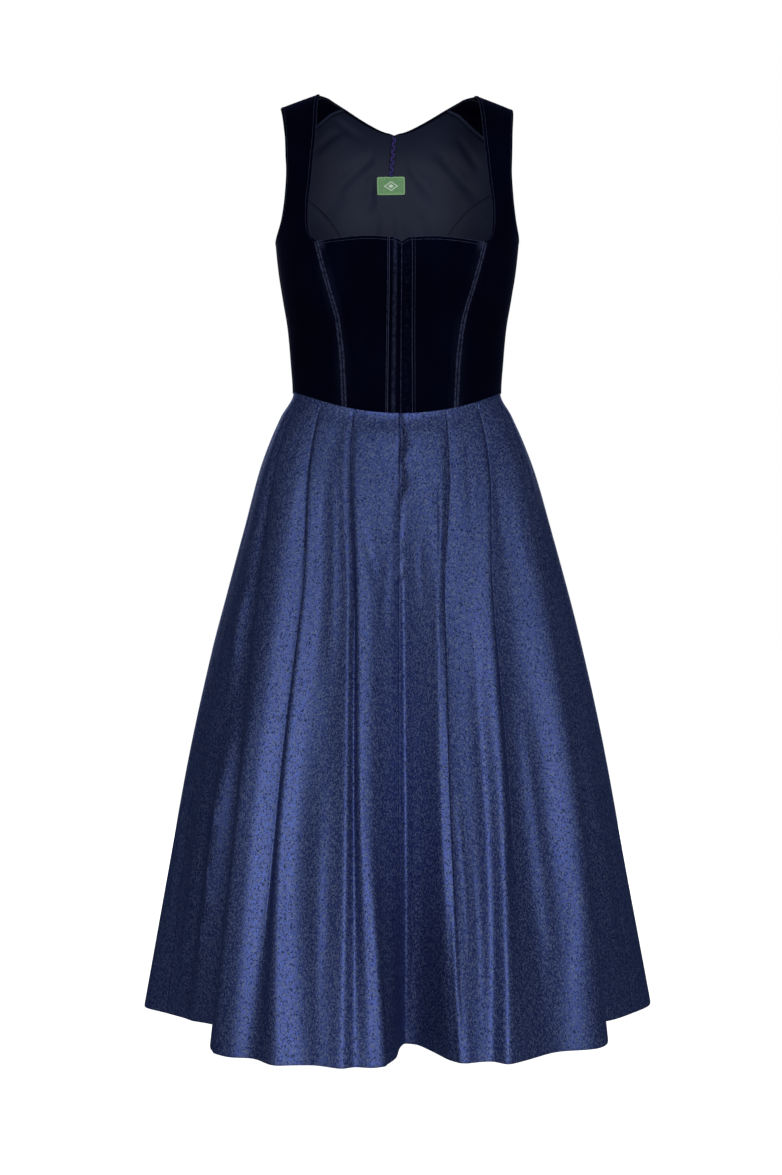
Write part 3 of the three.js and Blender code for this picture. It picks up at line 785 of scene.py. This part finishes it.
# Ridges and furrows of the velvet, with middle, width and height: beside a stitched seam,
# along an open edge, on both sides of the front opening and at a seam with no stitches.
SEAM_FORM = [(1.4, 0.8, 0.4), (0, 0.7, -0.9), (SEAM_STITCH, 0.4, -0.3), (4.6, 2.0, 0.3)]
EDGE_FORM = [(2.4, 1.4, 0.35), (0, 0.7, -0.7), (EDGE_STITCH, 0.5, -0.3)]
LEFT_FORM = [(0, 0.8, -0.8), (5, 3.0, 0.4), (LEFT_STITCHES[0], 0.5, -0.35)]
RIGHT_FORM = [(0, 0.8, -0.8), (9.3, 2.8, 0.9), (14.5, 0.9, -0.5), (16.8, 0.5, -0.3)]
PLAIN_SEAM_FORM = [(0, 0.9, -0.5)]
SIDE_RUB_AND_SHEEN = 0.45  # how strong the side and back panels' edge wear and painted sheen are, against the front's
PLACKET_RISE = 1.0
PLACKET_SLOPE = 1.5


def sewn_rise(seam, edge):
    """How the cloth puffs and sinks beside a stitched seam and along a stitched edge."""
    return relief(seam, SEAM_FORM) + relief(edge, EDGE_FORM)


def velvet_marks(seam, edge, opening=FAR, rub_and_sheen_strength=1.0):
    return {"from_seam": seam, "from_edge": edge, "from_opening": opening, "rub_and_sheen_strength": rub_and_sheen_strength}


def make_front(name, side):
    points, _ = panel(
        side, centre_front_inner, centre_front_outer, FRONT_ACROSS, FRONT_UP, front_neckline
    )
    opening = run(points, 1)
    seam = run(points, 1, True)
    edge = run(points, 0, True)
    placket = PLACKET_RISE * (1 - smooth((opening - PLACKET_WIDTH) / PLACKET_SLOPE + 0.5))
    rise = placket + relief(opening, LEFT_FORM if side > 0 else RIGHT_FORM)
    points = moved_out(points, rise + sewn_rise(seam, edge))
    make_cloth(
        f"centre_front_{name}", points, VELVET, [velvet, velvet_back],
        f"front_centre_{name}", velvet_marks(seam, edge, opening * side),
    )
    sew(points, seam, SEAM_STITCH)
    sew(points.transpose(1, 0, 2), edge.T, EDGE_STITCH)
    for distance in LEFT_STITCHES if side > 0 else RIGHT_STITCHES:
        sew(points, opening, distance)


def make_velvet_panel(name, stands_for, points, inner_seam, outer_seam, stitched):
    """A panel whose two sides are sewn up to a share of their length, and open edges above."""
    up = np.linspace(0, 1, len(points))[:, None]
    inner = run(points, 1)
    outer = run(points, 1, True)
    seam = np.minimum(
        np.where(up <= inner_seam, inner, FAR) if stitched[0] else FAR,
        np.where(up <= outer_seam, outer, FAR) if stitched[1] else FAR,
    )
    edge = np.minimum(np.where(up > inner_seam, inner, FAR), np.where(up > outer_seam, outer, FAR))
    nearest = np.minimum(inner, outer)
    plain = np.minimum(seam, edge) > NEAR_ENOUGH
    points = moved_out(points, sewn_rise(seam, edge) + relief(nearest, PLAIN_SEAM_FORM) * plain)
    make_cloth(
        name, points, VELVET, [velvet, velvet_back], stands_for,
        velvet_marks(seam, edge, rub_and_sheen_strength=SIDE_RUB_AND_SHEEN),
    )
    count = len(points)
    for away, share, sewn in ((inner, inner_seam, stitched[0]), (outer, outer_seam, stitched[1])):
        split = int(share * (count - 1)) + 1
        if sewn:
            sew(points, away, SEAM_STITCH, slice(0, split))
        if count - split > FEWEST_ROWS:
            sew(points, away, EDGE_STITCH, slice(split, count))


# Panels other than the front ones: name, solid's name, inner and outer side, rows of quads,
# and which of the seams at its two sides are stitched.
VELVET_PANELS = [
    ("side_front", "front_side", side_front_inner, side_front_outer, 159, (True, False)),
    ("side_back", "back_side", side_back_inner, side_back_outer, 99, (True, False)),
    ("centre_back", "back_centre", centre_back_inner, centre_back_outer, 139, (False, True)),
]


def make_bodice():
    for name, side in SIDES:
        make_front(name, side)
        for kind, solid, inner, outer, rows, stitched in VELVET_PANELS:
            points, _ = panel(side, inner, outer, EDGED_ACROSS, spread((1, rows)))
            sewn = (inner[1], outer[1])
            make_velvet_panel(f"{kind}_{name}", f"{solid}_{name}", points, *sewn, stitched)
    make_stitches("topstitching", stitch_thread)


make_bodice()

# ---- Lining, facings, loop and label ----

# Soft creases in the back lining: the side, the distance from the centre and the height at
# one end and at the other, width and depth.
LINING_CREASES = [
    (-1, 3, -52, 46, -150, 9, 1.6), (-1, 14, -50, 88, -112, 7, 1.3),
    (-1, 62, -22, 112, -60, 6, 1.5), (-1, 84, -8, 40, -44, 5, 1.2),
    (-1, 20, -112, 34, -230, 10, 1.0), (-1, 62, -96, 104, -150, 12, 0.9),
    (1, 10, -62, 70, -128, 9, 1.2), (1, 48, -44, 120, -124, 8, 1.5),
    (1, 80, -30, 118, -84, 6, 1.4), (1, 6, -120, 14, -240, 10, 0.9),
    (1, 34, -96, 66, -190, 12, 0.9),
]
CREASE_GAIN = 1.7
CREASE_REST = 0.6
DEEPEST_CREASE = 4
FACING_FIRST = 18 / 22  # the share of the back panel's height where they start
FACING_SINK = 26
# Each facing: how far it stands off the lining, the height of the painted shadow under it on the
# lining at the neck and at its outer end, and how soon that painted shadow widens.
FACINGS = {"left": (6.0, 1.5, 5.5, 1.4), "right": (3.0, 1.2, 3.6, 1.6)}
# Ridges and furrows of the side lining at its seam and of the facing's binding.
LINING_FORM = [(4, 2, 0.5)]
BINDING_FORM = [(2.0, 1.7, 1.1), (BINDING, 0.6, -0.4)]


def clear_of_label(x, h):
    """0 where the label and its loop lie, 1 elsewhere."""
    beside = smooth((np.abs(x - LABEL_X) - LABEL_WIDTH / 2) / 10)
    below = smooth((LABEL_TOP - LABEL_HEIGHT - h) / 10)
    above = np.maximum(smooth((np.abs(x) - 4) / 12), smooth((LABEL_TOP - h) / 10))
    near_loop = smooth((np.abs(x) - 3) / 10 + (h < LABEL_TOP))
    return np.maximum(beside, below) * above * near_loop


def fading(along, foot):
    """0 at both ends of a crease and 1 between them."""
    return smooth(along * 3) * smooth((1 - along) * foot)


def creases(x, h, rows):
    """The depth of a few soft creases, each a straight furrow that fades at both ends."""
    depth = np.zeros_like(x)
    for side, x0, h0, x1, h1, width, deep in rows:
        length = math.hypot(x1 - x0, h1 - h0)
        along = ((x * side - x0) * (x1 - x0) + (h - h0) * (h1 - h0)) / length**2
        away = ((x * side - x0) * (h1 - h0) - (h - h0) * (x1 - x0)) / length
        furrow = bump(away, 0, width) - 0.6 * bump(away, width * 1.6, width)
        depth = depth + deep * fading(along, 2.5) * furrow
    return depth


def painted_shadow_under_facing(points, at_neck, outside, widening):
    """How far inside the painted shadow under the facing's edge each point of the lining lies."""
    length = run(points, 0)
    first = int(FACING_FIRST * (len(points) - 1))
    outwards = np.linspace(0, 1, points.shape[1])[None, :]
    return lerp(at_neck, outside, smooth(outwards * widening)) - (length[first] - length)


def make_lining():
    looks = [lining_cloth, lining_cloth]
    for name, side in SIDES:
        stand_off, *painted_shadow = FACINGS[name]
        points, h = panel(
            side, centre_back_inner, centre_back_outer, spread((1, 59)), spread((1, 139))
        )
        up = np.linspace(0, 1, len(points))[:, None]
        # The creases only move the lining inwards, clear of the velvet.
        into = CREASE_GAIN * creases(points[..., 0], h, LINING_CREASES) + CREASE_REST
        into = np.clip(into, 0, DEEPEST_CREASE) * clear_of_label(points[..., 0], h)
        marks = {
            "from_seam": run(points, 1, True),
            "from_neck": np.where(up > centre_back_inner[1], run(points, 1), FAR),
            # Where the painted shadow under the facing falls on the lining.
            "painted_shadow_under_facing": painted_shadow_under_facing(points, *painted_shadow),
        }
        make_cloth(
            f"back_lining_{name}", moved_out(points, -LINING_OUT - into), LINING, looks,
            f"lining_centre_{name}", marks,
        )
        points, _ = panel(side, side_back_inner, side_back_outer, spread((1, 39)), spread((1, 79)))
        seam = run(points, 1)
        make_cloth(
            f"side_lining_{name}", moved_out(points, -LINING_OUT - relief(seam, LINING_FORM)),
            LINING, looks, f"lining_side_{name}",
            {"from_seam": seam, "from_neck": FAR, "painted_shadow_under_facing": -FAR},
        )
        across = spread((1, 39))
        up = spread((1, 39), start=FACING_FIRST)
        points, _ = panel(side, centre_back_inner, centre_back_outer, across, up)
        low = run(points, 0)
        stand = stand_off * smooth(across[None, :] * 2.2) * (1 - smooth(low / FACING_SINK))
        inset = FACING_OUT + stand + relief(low, BINDING_FORM)
        make_cloth(
            f"facing_{name}", moved_out(points, -inset), LINING, [velvet_back, bound_velvet],
            f"shoulder_facing_{name}",
            {**velvet_marks(FAR, FAR), "from_binding": low},
        )


def back_patch(width, top, bottom, x, columns, rows, depth, corner=0.0, tilt=0.0):
    """A small rectangle that lies inside the back, with round corners and a slight tilt."""
    up = np.linspace(-0.5, 0.5, rows)[:, None] * (top - bottom) + np.zeros((1, columns))
    across = np.linspace(-0.5, 0.5, columns)[None, :] * width + np.zeros((rows, 1))
    if corner:
        into = np.clip((np.abs(up) - (top - bottom) / 2 + corner) / corner, 0, 1)
        across = across * (1 - (corner / (width / 2)) * (1 - np.sqrt(1 - into**2)))
    place = x + across * math.cos(tilt) - up * math.sin(tilt)
    h = (top + bottom) / 2 + up * math.cos(tilt) + across * math.sin(tilt)
    turn = turn_at(place, np.minimum(h, SHOULDER_START), True) * np.where(place < 0, -1, 1)
    return moved_out(bodice_points(turn, h), np.full(h.shape, -depth)), across, up


LABEL_WALL = 1.0
LABEL_GAP = 0.4
LABEL_RIM = 1.2


def make_label():
    points, across, up = back_patch(
        LABEL_WIDTH, LABEL_TOP, LABEL_TOP - LABEL_HEIGHT, LABEL_X, 61, 41, FACING_OUT + LABEL_GAP,
        corner=1.8, tilt=math.radians(1.2),
    )
    rim = np.minimum(LABEL_WIDTH / 2 - np.abs(across), LABEL_HEIGHT / 2 - np.abs(up)) / LABEL_RIM
    points = moved_out(points, -0.35 * smooth(rim) + 0.2 * smooth(rim - LABEL_BORDER))
    make_cloth(
        "woven_label", points, LABEL_WALL, [label_cloth, label_cloth], "label",
        {"label_across": across, "label_up": up},
    )


BRAID_STEPS = 110
BRAID_TURNS = 5.5
BRAID_SWING = 2.0
BRAID_WEAVE = 0.6
BRAID_SINK = 0.5
LOOP_GAP = 1.5
STRANDS = [(purple_thread, 0.8), (dark_thread, 0.95), (purple_thread, 0.95)]


def make_hanger():
    """Three strands, plaited flat, from the back neckline to the label."""
    ends, _, _ = back_patch(
        1, HANGER_TOP, LABEL_TOP + LOOP_GAP, 0, 2, 2, FACING_OUT + LOOP_GAP
    )
    top = ends[1].mean(axis=0)
    foot = ends[0].mean(axis=0) + np.array([LABEL_X, 0, 0])
    strands = []
    for number, (look, radius) in enumerate(STRANDS):
        data = bpy.data.curves.new(f"strand_{number}", "CURVE")
        data.dimensions = "3D"
        data.bevel_depth = radius * MM
        data.bevel_resolution = 2
        data.materials.append(look)
        line = data.splines.new("POLY")
        line.points.add(BRAID_STEPS)
        for i in range(BRAID_STEPS + 1):
            t = i / BRAID_STEPS
            phase = t * 2 * math.pi * BRAID_TURNS + number * 2 * math.pi / len(STRANDS)
            sideways = BRAID_SWING * math.sin(phase)
            inwards = BRAID_WEAVE * math.sin(2 * phase) - BRAID_SINK
            here = lerp(top, foot, t) + np.array([sideways, inwards, 0])
            line.points[i].co = (*(here * MM), 1)
        strands.append(add_object(f"strand_{number}", data))
    select_only(*strands)
    bpy.ops.object.convert(target="MESH")
    bpy.ops.object.join()
    braid = bpy.context.object
    braid.name = "hanging_braid"
    bpy.ops.object.shade_smooth()
    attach(braid, "root")
    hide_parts("hanging_loop")


make_lining()
make_label()
make_hanger()

# ---- Skirt ----


def fold_down(values):
    return curve([0, HIP_SHARE, KNEE_SHARE, 1], values)


fold_angles = [fold_down(row[1:5]) for row in FOLDS]
fold_reaches = [fold_down((0,) + row[5:8]) for row in FOLDS]


def pleat_rise(name, down):
    if not any(word in name for word in ("pleat", "valley", "seam")):
        return 0
    return -PLEAT_RISE * smooth(down / PLEAT_SHARE) * (1 - smooth((down - HIP_SHARE / 2) / HIP_SHARE))


def skirt_row(down):
    """The folds' angles and reaches at one height, over the fold's number."""
    count = len(FOLDS)
    numbers = range(-OVERLAP, count + OVERLAP + 1)
    angles, reaches = [], []
    for number in numbers:
        fold = number % count
        angles.append(float(fold_angles[fold](down)) + 360 * (number // count))
        reaches.append(float(fold_reaches[fold](down)) + float(pleat_rise(FOLDS[fold][0], down)))
    return curve(numbers, angles), curve(numbers, reaches)


def skirt_points(numbers, downs):
    """Points of the skirt's outer face, its folds rounded a little over their sharpest turns."""
    return sum(share * sharp_skirt_points(numbers + offset, downs) for offset, share in FOLD_ROUNDING)


def sharp_skirt_points(numbers, downs):
    rows = []
    for down in downs:
        angle, reach = skirt_row(down)
        turn = np.radians(angle(numbers))
        x, y = section_point(turn, np.full_like(turn, lerp(WAIST_Z, HEM_Z, down)))
        radius = np.hypot(x, y)
        scale = (radius + reach(numbers) - SKIRT_INSET) / radius
        z = lerp(waist_seam(turn), HEM_Z, down)
        rows.append(np.stack([x * scale, y * scale, z], axis=-1))
    return np.array(rows)


def fold_number(name, nth):
    return [i for i, row in enumerate(FOLDS) if row[0] == name][nth]


# Pressed pleats: fold's name and count, which way the upper layer faces (1 for a growing
# number), how deep, and the shares down at which the step fades and the crease ends.
PRESSED = [
    ("first pleat", 0, 1, 2.6, 0.30, 0.42),
    ("second pleat", 0, 1, 2.2, 0.34, 0.85),
    ("second pleat", 1, -1, 2.2, 0.34, 0.95),
    ("first pleat", 1, -1, 2.6, 0.31, 0.44),
    ("back pleat", 0, -1, 2.4, 0.32, 0.8),
    ("back pleat", 1, 1, 2.4, 0.32, 0.7),
]
# Where the front opening gapes: share down, half length and how far.
GAPES = [(0.040, 0.034, 2.5), (0.112, 0.026, 2.0), (0.222, 0.020, 0.8), (0.262, 0.012, 1.2)]
GAPE_END = 0.008
# More columns at these parts of a fold from each pleat and each seam, and the shares of rows.
CLOSE_COLUMNS = (0, 0.01, 0.025, 0.045, 0.07, 0.11, 0.18, 0.3)
SKIRT_DOWNS = spread((0.004, 3), (0.3, 90), (0.99, 80), (1, 4))
PLEAT_START = 0.012
PLEAT_REACH = 9
# The groove beside a pleat, a furrow along a crease or a seam, and the hem's edge.
GROOVE = [(0.9, 0.7, -0.5)]
FURROW = [(0, 0.9, -0.7)]
HEM_FORM = [(0, 1.2, -0.5)]


def until(down, end, share):
    """1 down to a share of the way to an end, falling to 0 there."""
    return 1 - smooth((down - end * share) / (end * (1 - share)))


def pressed_relief(away, down, facing, deep, step_end, crease_end):
    """A knife pleat: the upper layer stands over a groove, and lower down only a crease is left."""
    here = smooth(down / PLEAT_START)
    step = here * until(down, step_end, 0.6)
    crease = here * until(down, crease_end, 0.7)
    outside = away * facing
    over = (0.5 - smooth(outside + 0.5)) * np.exp(-np.abs(away) / PLEAT_REACH)
    return deep * step * (over + relief(outside, GROOVE)) + crease * relief(away, FURROW)


def front_relief(away, down, side):
    """The hooked front opening, whose edges gape a little, over a plain seam."""
    gape = relief(down, GAPES)
    if side > 0:
        edge_form = -(1.1 + 2.4 * gape) * bump(away, 0, 1.4 + 3.2 * gape)
    else:
        edge_form = (0.5 + 0.9 * gape) * bump(away, 2.5, 3.5) - 0.4 * bump(away, 0, 0.5)
    return lerp(relief(away, FURROW), edge_form, 1 - smooth((down - SLIT_SHARE) / GAPE_END))


# Soft creases of the skirt, by fold number: number and share down at the top, the same at
# the foot, width and height (a negative height is a trough).
SKIRT_CREASES = [
    (2.9, 0.19, 3.3, 0.34, 5, -1.3), (4.2, 0.07, 4.95, 0.32, 3.5, -2.2),
    (5.55, 0.18, 5.55, 1.25, 3.5, 4.0), (6.5, 0.56, 6.7, 0.92, 3, 1.1),
    (7.2, 0.66, 7.2, 0.97, 2.6, -1.2), (7.6, 0.03, 7.9, 0.22, 4, -0.9),
    (7.9, 0.3, 8.1, 1.05, 8, -3.2), (10.6, 0.08, 10.9, 0.3, 7, -1.6),
    (11, 0.4, 11, 1.02, 13, 7.0), (11.5, 0.12, 11.7, 0.33, 8, 1.5),
    (11.8, 0.7, 11.4, 0.95, 5, -1.5), (13.6, 0.42, 13.8, 0.74, 7, 2.0),
    (15.5, 0.5, 15.7, 0.98, 10, 3.0), (15.2, 0.08, 15.3, 0.3, 9, 1.8),
    (17.4, 0.2, 17.2, 0.55, 8, 2.0), (18.3, 0.5, 18.5, 0.93, 7, -2.0),
    (20.4, 0.12, 20.8, 0.4, 6, -1.5), (21.5, 0.48, 21.3, 0.88, 5, 1.8),
    (22.6, 0.3, 22.7, 0.66, 4, -1.2), (23.5, 0.05, 23.8, 0.28, 5, -1.4),
    (24.4, 0.58, 24.3, 0.96, 5, 1.5), (25.6, 0.36, 25.5, 0.72, 4, -1.2),
    (26.6, 0.07, 26.3, 0.33, 6, 1.3), (27.5, 0.52, 27.7, 0.9, 4, -1.6),
    (29.4, 0.16, 29.2, 0.47, 6, 1.6), (29.7, 0.6, 29.6, 0.94, 5, -1.6),
    (31.5, 0.34, 31.6, 0.62, 7, 2.0), (33.3, 0.1, 33.2, 0.42, 8, -1.8),
    (33.6, 0.55, 33.7, 0.92, 8, 2.2), (35.15, 0.28, 35.1, 0.5, 8, 5.5),
    (35.6, 0.46, 34.6, 1.1, 13, 14.0), (35.6, 0.12, 35.4, 0.34, 8, -3.0),
    (34.6, 0.6, 34.3, 1, 9, 5.0), (37.3, 0.03, 37.1, 0.17, 5, 1.2),
    (37.6, 0.34, 37.6, 1.25, 9, 5.0), (38.2, 0.04, 37.9, 0.14, 4, -1.1),
    (38.5, 0.1, 38.3, 0.24, 5, 1.2), (38.6, 0.48, 38.5, 0.8, 4, -1.0),
    (40.9, 0.1, 41.2, 0.5, 9, -2.0), (42, 0, 42, 0.52, 9, 4.5),
    (42, 0.45, 42, 1.3, 15, 6.0), (43.6, 0.01, 43.7, 0.38, 7, 2.4),
    (42.3, 0.66, 42.2, 0.96, 5, -1.3), (45.6, 0.18, 46.7, 0.3, 5, -1.4),
    (47.6, 0.21, 46.9, 0.38, 6, -1.5), (45.8, 0.62, 45.9, 1.3, 7, 4.0),
]


WANDER = 0.03  # how far a crease strays, in folds
BEYOND = 0.2


def skirt_relief(numbers, down, along):
    """The height of the skirt's creases, each uneven in its own way and fading at both ends."""
    height = np.zeros_like(along)
    down = down.reshape(-1)
    for top_number, top, foot_number, foot, width, high in SKIRT_CREASES:
        t = (down - top) / (foot - top)
        number = lerp(top_number, foot_number, np.clip(t, 0, 1)) + WANDER * np.sin(9 * t + 5 * top)
        if number.max() < numbers[0] + BEYOND or number.min() > numbers[-1] - BEYOND:
            continue
        middle = np.array([np.interp(at, numbers, row) for at, row in zip(number, along)])[:, None]
        height = height + high * fading(t, 2.2)[:, None] * bump(along - middle, 0, width)
    return height


def make_gore(name, first, last):
    pleats = []
    for fold, nth, *settings in PRESSED:
        number = fold_number(fold, nth)
        if first < number < last:
            pleats.append((number, settings))
    even = np.arange(first, last + NO_LENGTH, 1 / FOLD_STEPS)
    close = [first + apart for apart in CLOSE_COLUMNS] + [last - apart for apart in CLOSE_COLUMNS]
    for number, _ in pleats:
        close += [number + side * apart for apart in CLOSE_COLUMNS for side in (-1, 1)]
    numbers = np.unique(np.round(np.concatenate([even, close]), 4))
    points = skirt_points(numbers, SKIRT_DOWNS)
    down = SKIRT_DOWNS[:, None]
    start = run(points, 1)
    end = run(points, 1, True)
    rise = skirt_relief(numbers, down, start)
    for number, settings in pleats:
        column_at = int(np.argmin(np.abs(numbers - number)))
        away = start - start[:, column_at : column_at + 1]
        rise = rise + pressed_relief(away, down, *settings)
    rise = rise + (relief(start, FURROW) if first else front_relief(start, down, 1))
    rise = rise + (relief(end, FURROW) if last < len(FOLDS) else front_relief(end, down, -1))
    rise = rise + relief(run(points, 0, True), HEM_FORM)
    points = moved_out(points, rise)[::-1]
    make_cloth(
        f"{name}_cloth", points, SKIRT_WALL, [jacquard, jacquard_back], name,
        {"from_seam": np.minimum(start, end)[::-1]},
    )


def make_skirt():
    names = ["skirt_front_left", "skirt_back_left", "skirt_back_right", "skirt_front_right"]
    sides = [fold_number("side seam", nth) for nth in (0, 1)]
    seams = [0, sides[0], fold_number("back seam", 0), sides[1], len(FOLDS)]
    for name, first, last in zip(names, seams, seams[1:]):
        make_gore(name, first, last)


make_skirt()

# ---- Stage ----

AMBIENT = 0.105
FLOOR_SIZE = 40
FLOOR_HEIGHT = -1.3
# Soft boxes: name, place, what each points at, width and height, and power.
SOFT_BOXES = [
    ("front_key", (-0.6, -3.2, 0.0), (0, 0, -0.6), (1.1, 2.0), 46.5),
    ("front_fill", (0.7, -3.2, -0.2), (0, 0, -0.7), (1.1, 2.0), 48),
    ("back_key", (-0.8, 3.2, 0.1), (0, 0, -0.6), (1.2, 2.0), 19),
    ("back_fill", (0.9, 3.2, -0.2), (0, 0, -0.7), (1.2, 2.0), 20),
]


def make_stage():
    deselect()
    bpy.ops.mesh.primitive_plane_add(size=FLOOR_SIZE, location=(0, 0, FLOOR_HEIGHT))
    floor = bpy.context.object
    floor.name = "floor"
    look = Look(
        "floor_paint", base_color=rgb(246, 246, 246), roughness=0.9, specular_ior_level=0.0,
        emission_color=(1, 1, 1, 1), emission_strength=0.97,
    )
    floor.data.materials.append(look.material)
    floor.visible_diffuse = False
    floor.visible_glossy = False


def add_light(name, place, target, size, power):
    data = bpy.data.lights.new(name, "AREA")
    data.shape = "RECTANGLE"
    data.size = size[0]
    data.size_y = size[1]
    data.energy = power
    light = add_object(name, data)
    light.location = place
    light.rotation_euler = (Vector(target) - Vector(place)).to_track_quat("-Z", "Y").to_euler()
    light.visible_camera = False


def light_stage():
    """A white backdrop all round, which itself gives only a little light, and soft boxes."""
    world = bpy.data.worlds.new("studio")
    bpy.context.scene.world = world
    world.use_nodes = True
    tree = world.node_tree
    seen = tree.nodes["Background"]
    seen.inputs["Color"].default_value = (1, 1, 1, 1)
    around = tree.nodes.new("ShaderNodeBackground")
    around.inputs["Color"].default_value = (0.72, 0.85, 1, 1)
    around.inputs["Strength"].default_value = AMBIENT
    ray = tree.nodes.new("ShaderNodeLightPath")
    chosen = tree.nodes.new("ShaderNodeMixShader")
    sockets = (ray.outputs["Is Camera Ray"], around.outputs[0], seen.outputs[0])
    for i, socket in enumerate(sockets):
        tree.links.new(socket, chosen.inputs[i])
    tree.links.new(chosen.outputs[0], tree.nodes["World Output"].inputs["Surface"])
    for box in SOFT_BOXES:
        add_light(*box)


bpy.context.scene.view_settings.view_transform = "Standard"
make_stage()
light_stage()
